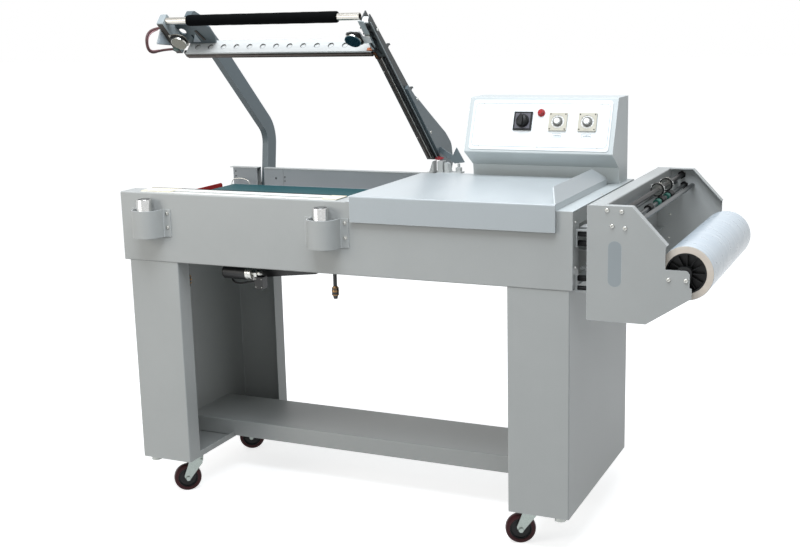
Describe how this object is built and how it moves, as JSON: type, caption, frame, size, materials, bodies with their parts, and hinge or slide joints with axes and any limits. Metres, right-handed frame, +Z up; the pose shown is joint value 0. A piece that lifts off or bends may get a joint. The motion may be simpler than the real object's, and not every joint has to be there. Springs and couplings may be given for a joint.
{
  "type": "l bar sealer",
  "caption": "L bar sealer with an open hinged jaw, product tray, belt bay, control box, film unwinder and a stand on casters.",
  "frame": {"origin": "centre of the bounding box in X and Y, on the floor under the casters", "axes": "+X along the table towards the film unwinder, +Y to the rear, +Z up"},
  "size_m": [1.5785, 0.758, 1.3178],
  "materials": {
    "powder_grey": "satin powder coat",
    "tray_grey": "satin powder coat",
    "arm_grey": "satin powder coat",
    "black_steel": "satin black",
    "bare_steel": "brushed",
    "bright_steel": "polished",
    "belt_green": "matt woven belt",
    "seal_white": "matt",
    "foam_black": "matt foam",
    "panel_white": "satin film",
    "black_plastic": "satin",
    "beige_plastic": "satin",
    "lamp_red": "clear red",
    "fork_grey": "zinc",
    "wheel_maroon": "cast polyurethane",
    "film_white": "wound film",
    "cable_brown": "silicone sleeve",
    "needle_black": "satin"
  },
  "bodies": {
    "frame": {"front_panel": "powder_grey", "rear_panel": "powder_grey", "end_panels": "powder_grey", "top_plate": "tray_grey", "recess_wall": "powder_grey", "left_leg": "powder_grey", "right_leg": "powder_grey", "lower_shelf": "powder_grey", "leg_hardware": "fork_grey", "conveyor_frame": "black_steel", "conveyor_belt": "belt_green", "belt_drive": "black_steel", "lower_jaw_bars": "bare_steel", "seal_pads": "seal_white", "product_tray": "tray_grey", "control_box": "powder_grey", "control_panel": "panel_white", "cam_switch": "black_plastic", "pilot_lamp": "lamp_red", "timer_bodies": "beige_plastic", "drive_hanger": "black_steel", "magnet_covers": "powder_grey", "electromagnets": "bare_steel", "hinge_brackets": "powder_grey", "return_springs": "bare_steel", "buffer_rods": "black_steel", "unwinder_front_plate": "powder_grey", "unwinder_rear_plate": "powder_grey", "unwinder_web": "powder_grey", "guide_rods": "bright_steel", "spindle_blocks": "black_plastic"},
    "jaw": {"jaw_shaft": "bare_steel", "left_arm": "arm_grey", "right_arm": "arm_grey", "side_jaw_bar": "arm_grey", "front_jaw_bar": "black_steel", "front_cover_plate": "tray_grey", "jaw_knives": "black_steel", "handle_bracket": "powder_grey", "handle_tube": "bright_steel", "foam_grip": "foam_black", "armatures": "bare_steel", "jaw_cable": "cable_brown"},
    "fork_fl": {"caster_fork_fl": "fork_grey"},
    "wheel_fl": {"caster_wheel_fl": "wheel_maroon"},
    "fork_fr": {"caster_fork_fr": "fork_grey"},
    "wheel_fr": {"caster_wheel_fr": "wheel_maroon"},
    "fork_rl": {"caster_fork_rl": "fork_grey"},
    "wheel_rl": {"caster_wheel_rl": "wheel_maroon"},
    "fork_rr": {"caster_fork_rr": "fork_grey"},
    "wheel_rr": {"caster_wheel_rr": "wheel_maroon"},
    "belt_drive_roller": {"drive_roller": "bare_steel"},
    "belt_idler_roller": {"idler_roller": "bare_steel"},
    "film": {"film_roll": "film_white", "roll_spindle": "black_plastic"},
    "needles": {"needle_shaft": "needle_black"},
    "rubber": {"rubber_shaft": "black_steel"},
    "knob": {"switch_knob": "black_plastic"},
    "seal_dial": {"seal_timer_dial": "beige_plastic"},
    "magnet_dial": {"magnet_timer_dial": "beige_plastic"}
  },
  "joints": [
    {"name": "jaw_hinge", "type": "hinge", "parent": "frame", "child": "jaw", "pos_m": [-0.38675, 0.262, 0.756], "axis": [1, 0, 0], "range_deg": [0, 43], "stiffness_Nm_per_rad": 62, "springref_deg": -65.89},
    {"name": "swivel_fl", "type": "hinge", "parent": "frame", "child": "fork_fl", "pos_m": [-0.63475, -0.251, 0.095], "axis": [0, 0, 1], "continuous": true},
    {"name": "roll_fl", "type": "hinge", "parent": "fork_fl", "child": "wheel_fl", "pos_m": [-0.65573, -0.26799, 0.038], "axis": [0.6293, -0.7771, 0], "continuous": true},
    {"name": "swivel_fr", "type": "hinge", "parent": "frame", "child": "fork_fr", "pos_m": [0.35025, -0.247, 0.095], "axis": [0, 0, 1], "continuous": true},
    {"name": "roll_fr", "type": "hinge", "parent": "fork_fr", "child": "wheel_fr", "pos_m": [0.3254, -0.25755, 0.038], "axis": [0.3907, -0.9205, 0], "continuous": true},
    {"name": "swivel_rl", "type": "hinge", "parent": "frame", "child": "fork_rl", "pos_m": [-0.63775, 0.101, 0.095], "axis": [0, 0, 1], "continuous": true},
    {"name": "roll_rl", "type": "hinge", "parent": "fork_rl", "child": "wheel_rl", "pos_m": [-0.66222, 0.08959, 0.038], "axis": [0.4226, -0.9063, 0], "continuous": true},
    {"name": "swivel_rr", "type": "hinge", "parent": "frame", "child": "fork_rr", "pos_m": [0.34825, 0.115, 0.095], "axis": [0, 0, 1], "continuous": true},
    {"name": "roll_rr", "type": "hinge", "parent": "fork_rr", "child": "wheel_rr", "pos_m": [0.32587, 0.0999, 0.038], "axis": [0.5592, -0.829, 0], "continuous": true},
    {"name": "drive_roller_turn", "type": "hinge", "parent": "frame", "child": "belt_drive_roller", "pos_m": [-0.17775, -0.023, 0.7747], "axis": [0, 1, 0], "continuous": true},
    {"name": "idler_roller_turn", "type": "hinge", "parent": "frame", "child": "belt_idler_roller", "pos_m": [-0.74175, -0.023, 0.7747], "axis": [0, 1, 0], "continuous": true},
    {"name": "film_roll_turn", "type": "hinge", "parent": "frame", "child": "film", "pos_m": [0.72825, 0.027, 0.7216], "axis": [0, 1, 0], "continuous": true},
    {"name": "needle_shaft_turn", "type": "hinge", "parent": "frame", "child": "needles", "pos_m": [0.57525, 0.027, 0.848], "axis": [0, 1, 0], "continuous": true},
    {"name": "rubber_shaft_turn", "type": "hinge", "parent": "frame", "child": "rubber", "pos_m": [0.58225, 0.027, 0.82], "axis": [0, 1, 0], "continuous": true},
    {"name": "switch_turn", "type": "hinge", "parent": "frame", "child": "knob", "pos_m": [0.21185, 0.10415, 1.01268], "axis": [0, -0.9243, 0.3816], "range_deg": [-90, 0]},
    {"name": "seal_dial_turn", "type": "hinge", "parent": "frame", "child": "seal_dial", "pos_m": [0.30755, 0.10377, 1.01176], "axis": [0, -0.9243, 0.3816], "range_deg": [-270, 0]},
    {"name": "magnet_dial_turn", "type": "hinge", "parent": "frame", "child": "magnet_dial", "pos_m": [0.38665, 0.10377, 1.01176], "axis": [0, -0.9243, 0.3816], "range_deg": [-270, 0]}
  ],
  "couplings": [
    {"joint": "idler_roller_turn", "follows": "drive_roller_turn", "ratio": 1},
    {"joint": "rubber_shaft_turn", "follows": "needle_shaft_turn", "ratio": -1.5455}
  ]
}
